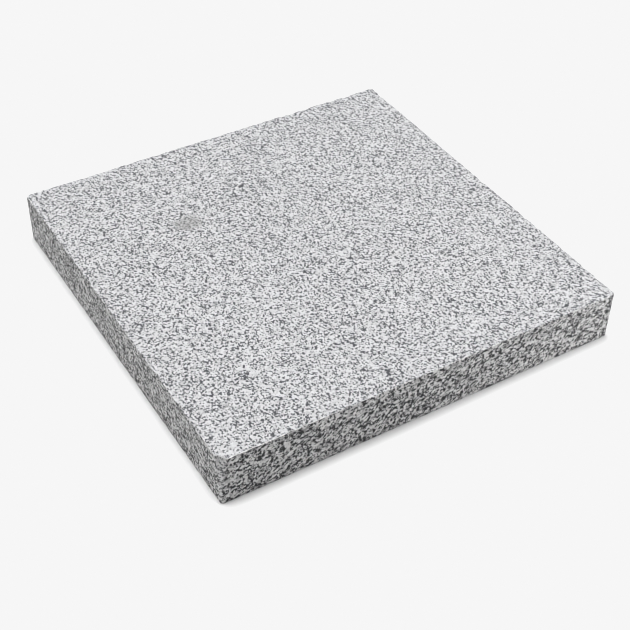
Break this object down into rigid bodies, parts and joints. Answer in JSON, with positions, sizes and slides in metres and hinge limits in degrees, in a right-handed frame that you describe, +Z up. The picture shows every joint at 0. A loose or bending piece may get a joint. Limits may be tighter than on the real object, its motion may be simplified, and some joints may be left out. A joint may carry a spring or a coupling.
{
  "type": "granite slab",
  "caption": "Square block of speckled grey granite with flat faces, eased arrises and slightly rounded upright corners, a heavy hard surface for tooling and stamping leather.",
  "frame": {"origin": "middle of the underside", "axes": "+Z up, from the underside to the working face; +X and +Y along two sides of the square plan"},
  "size_m": [0.3048, 0.3048, 0.0381],
  "materials": {
    "granite": "honed top, sawn sides, fine salt and pepper grain of white feldspar, grey quartz and black mica"
  },
  "bodies": {
    "root": {"slab": "granite"}
  },
  "joints": []
}
